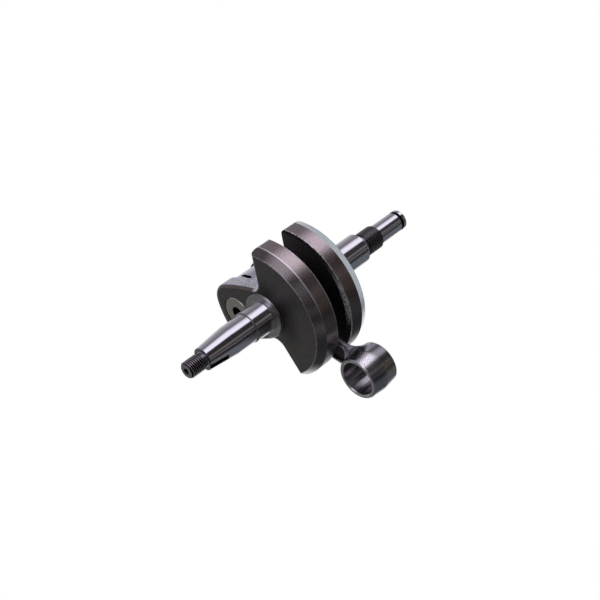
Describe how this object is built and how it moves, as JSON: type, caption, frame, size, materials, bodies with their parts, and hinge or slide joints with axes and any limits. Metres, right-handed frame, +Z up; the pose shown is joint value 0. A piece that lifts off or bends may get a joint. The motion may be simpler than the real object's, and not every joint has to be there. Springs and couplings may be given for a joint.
{
  "type": "crankshaft",
  "caption": "Built-up single-throw crankshaft of a small two-stroke engine, with counterweighted webs, a tapered keyed end, a threaded stub end and its connecting rod.",
  "frame": {"origin": "on the crank's main axis at the connecting rod's mid-plane, midway between the two webs", "axes": "+X along the main axis towards the clutch end, +Z up when the crank rests on a flat table on its counterweights and small end, +Y completes the frame, towards the crankpin's side"},
  "size_m": [0.142, 0.09, 0.058],
  "materials": {
    "forged_steel": "dark forged webs with ground bright shafts",
    "pin_steel": "ground matte",
    "rod_steel": "dark speckled satin",
    "bearing_steel": "polished"
  },
  "bodies": {
    "crank": {"magneto_half_crank": "forged_steel", "clutch_half_crank": "forged_steel", "crankpin": "pin_steel"},
    "rod": {"connecting_rod": "rod_steel"},
    "cage": {"big_end_needle_cage": "bearing_steel"},
    "roller_01": {"big_end_roller_01": "bearing_steel"},
    "roller_02": {"big_end_roller_02": "bearing_steel"},
    "roller_03": {"big_end_roller_03": "bearing_steel"},
    "roller_04": {"big_end_roller_04": "bearing_steel"},
    "roller_05": {"big_end_roller_05": "bearing_steel"},
    "roller_06": {"big_end_roller_06": "bearing_steel"},
    "roller_07": {"big_end_roller_07": "bearing_steel"},
    "roller_08": {"big_end_roller_08": "bearing_steel"},
    "roller_09": {"big_end_roller_09": "bearing_steel"},
    "roller_10": {"big_end_roller_10": "bearing_steel"},
    "roller_11": {"big_end_roller_11": "bearing_steel"},
    "roller_12": {"big_end_roller_12": "bearing_steel"},
    "roller_13": {"big_end_roller_13": "bearing_steel"},
    "roller_14": {"big_end_roller_14": "bearing_steel"},
    "roller_15": {"big_end_roller_15": "bearing_steel"}
  },
  "joints": [
    {"name": "rod_swing", "type": "hinge", "parent": "crank", "child": "rod", "pos_m": [0, 0.01756, -0.00957], "axis": [1, 0, 0], "continuous": true},
    {"name": "cage_spin", "type": "hinge", "parent": "crank", "child": "cage", "pos_m": [0, 0.01756, -0.00957], "axis": [1, 0, 0], "continuous": true},
    {"name": "roller_spin_01", "type": "hinge", "parent": "cage", "child": "roller_01", "pos_m": [0, 0.02706, -0.00957], "axis": [1, 0, 0], "continuous": true},
    {"name": "roller_spin_02", "type": "hinge", "parent": "cage", "child": "roller_02", "pos_m": [0, 0.02624, -0.00571], "axis": [1, 0, 0], "continuous": true},
    {"name": "roller_spin_03", "type": "hinge", "parent": "cage", "child": "roller_03", "pos_m": [0, 0.02392, -0.00251], "axis": [1, 0, 0], "continuous": true},
    {"name": "roller_spin_04", "type": "hinge", "parent": "cage", "child": "roller_04", "pos_m": [0, 0.02049, -0.00054], "axis": [1, 0, 0], "continuous": true},
    {"name": "roller_spin_05", "type": "hinge", "parent": "cage", "child": "roller_05", "pos_m": [0, 0.01657, -0.00013], "axis": [1, 0, 0], "continuous": true},
    {"name": "roller_spin_06", "type": "hinge", "parent": "cage", "child": "roller_06", "pos_m": [0, 0.01281, -0.00135], "axis": [1, 0, 0], "continuous": true},
    {"name": "roller_spin_07", "type": "hinge", "parent": "cage", "child": "roller_07", "pos_m": [0, 0.00987, -0.00399], "axis": [1, 0, 0], "continuous": true},
    {"name": "roller_spin_08", "type": "hinge", "parent": "cage", "child": "roller_08", "pos_m": [0, 0.00827, -0.0076], "axis": [1, 0, 0], "continuous": true},
    {"name": "roller_spin_09", "type": "hinge", "parent": "cage", "child": "roller_09", "pos_m": [0, 0.00827, -0.01155], "axis": [1, 0, 0], "continuous": true},
    {"name": "roller_spin_10", "type": "hinge", "parent": "cage", "child": "roller_10", "pos_m": [0, 0.00987, -0.01516], "axis": [1, 0, 0], "continuous": true},
    {"name": "roller_spin_11", "type": "hinge", "parent": "cage", "child": "roller_11", "pos_m": [0, 0.01281, -0.0178], "axis": [1, 0, 0], "continuous": true},
    {"name": "roller_spin_12", "type": "hinge", "parent": "cage", "child": "roller_12", "pos_m": [0, 0.01657, -0.01902], "axis": [1, 0, 0], "continuous": true},
    {"name": "roller_spin_13", "type": "hinge", "parent": "cage", "child": "roller_13", "pos_m": [0, 0.02049, -0.01861], "axis": [1, 0, 0], "continuous": true},
    {"name": "roller_spin_14", "type": "hinge", "parent": "cage", "child": "roller_14", "pos_m": [0, 0.02392, -0.01663], "axis": [1, 0, 0], "continuous": true},
    {"name": "roller_spin_15", "type": "hinge", "parent": "cage", "child": "roller_15", "pos_m": [0, 0.02624, -0.01344], "axis": [1, 0, 0], "continuous": true}
  ],
  "couplings": [
    {"joint": "cage_spin", "follows": "rod_swing", "ratio": 0.57895},
    {"joint": "roller_spin_01", "follows": "rod_swing", "ratio": 3.0877},
    {"joint": "roller_spin_02", "follows": "rod_swing", "ratio": 3.0877},
    {"joint": "roller_spin_03", "follows": "rod_swing", "ratio": 3.0877},
    {"joint": "roller_spin_04", "follows": "rod_swing", "ratio": 3.0877},
    {"joint": "roller_spin_05", "follows": "rod_swing", "ratio": 3.0877},
    {"joint": "roller_spin_06", "follows": "rod_swing", "ratio": 3.0877},
    {"joint": "roller_spin_07", "follows": "rod_swing", "ratio": 3.0877},
    {"joint": "roller_spin_08", "follows": "rod_swing", "ratio": 3.0877},
    {"joint": "roller_spin_09", "follows": "rod_swing", "ratio": 3.0877},
    {"joint": "roller_spin_10", "follows": "rod_swing", "ratio": 3.0877},
    {"joint": "roller_spin_11", "follows": "rod_swing", "ratio": 3.0877},
    {"joint": "roller_spin_12", "follows": "rod_swing", "ratio": 3.0877},
    {"joint": "roller_spin_13", "follows": "rod_swing", "ratio": 3.0877},
    {"joint": "roller_spin_14", "follows": "rod_swing", "ratio": 3.0877},
    {"joint": "roller_spin_15", "follows": "rod_swing", "ratio": 3.0877}
  ]
}
